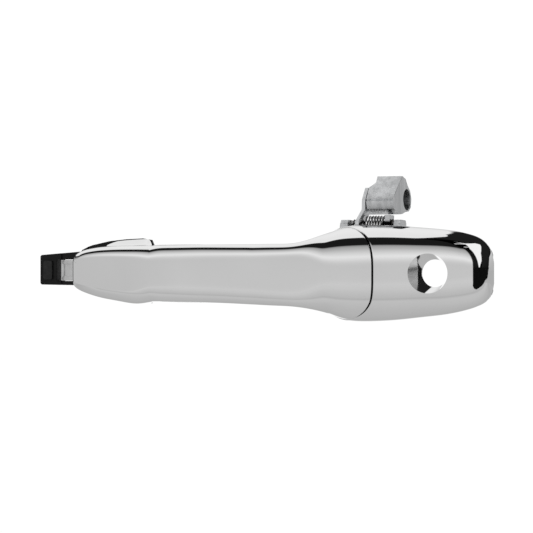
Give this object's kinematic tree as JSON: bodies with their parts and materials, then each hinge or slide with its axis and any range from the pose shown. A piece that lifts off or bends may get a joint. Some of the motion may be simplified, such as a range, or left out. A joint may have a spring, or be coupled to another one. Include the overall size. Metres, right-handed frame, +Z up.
{
  "type": "car door handle",
  "caption": "Chrome pull-type exterior car door handle: bow grip with front hook, key cap, and a sprung bell crank with counterweight behind it.",
  "frame": {"origin": "on the door side of the cap gasket, at half the handle's height, between the bracket and the key window", "axes": "+X along the handle from the front hook to the key cap, +Y into the door, +Z up"},
  "size_m": [0.244, 0.0694, 0.0739],
  "materials": {
    "chrome_plate": "bright chrome plating on moulded plastic",
    "bright_metal": "plated casting, slightly dull",
    "zinc_casting": "satin die-cast zinc",
    "plated_steel": "zinc-plated steel",
    "spring_steel": "bright drawn spring wire",
    "bronze": "sintered bronze",
    "black_plastic": "black moulded plastic",
    "black_rubber": "black moulded rubber",
    "nylon": "natural nylon"
  },
  "bodies": {
    "base": {"key_cap": "chrome_plate", "cap_base": "black_plastic", "cap_gasket": "black_rubber", "cylinder_retainer": "black_plastic", "mounting_stud": "plated_steel", "mounting_nut": "plated_steel", "stud_washer": "plated_steel", "pivot_bracket": "zinc_casting", "pivot_pin": "plated_steel", "pin_clip": "spring_steel", "return_spring": "spring_steel", "leg_guide": "nylon", "bracket_screw_1": "plated_steel", "bracket_screw_2": "plated_steel", "bracket_screw_3": "plated_steel"},
    "grip": {"grip_outer_shell": "chrome_plate", "grip_inner_cover": "black_plastic", "hook_arm": "bright_metal", "hook_shoe": "black_plastic", "hook_wear_pad": "black_rubber", "arm_screw_1": "plated_steel", "arm_screw_2": "plated_steel", "rear_leg": "bright_metal", "rear_leg_bumper": "black_rubber"},
    "crank": {"bell_crank": "zinc_casting", "counterweight": "zinc_casting", "weight_plug": "black_plastic", "left_bush": "bronze", "right_bush": "bronze"}
  },
  "joints": [
    {"name": "grip_pull", "type": "hinge", "parent": "base", "child": "grip", "pos_m": [-0.19, 0.007, 0], "axis": [0, 0, -1], "range_deg": [0, 6.5], "stiffness_Nm_per_rad": 12, "springref_deg": -5.73},
    {"name": "crank_swing", "type": "hinge", "parent": "base", "child": "crank", "pos_m": [-0.0175, 0.013, 0.023], "axis": [-1, 0, 0], "range_deg": [0, 45]}
  ],
  "couplings": [
    {"joint": "crank_swing", "follows": "grip_pull", "ratio": 6.923}
  ]
}
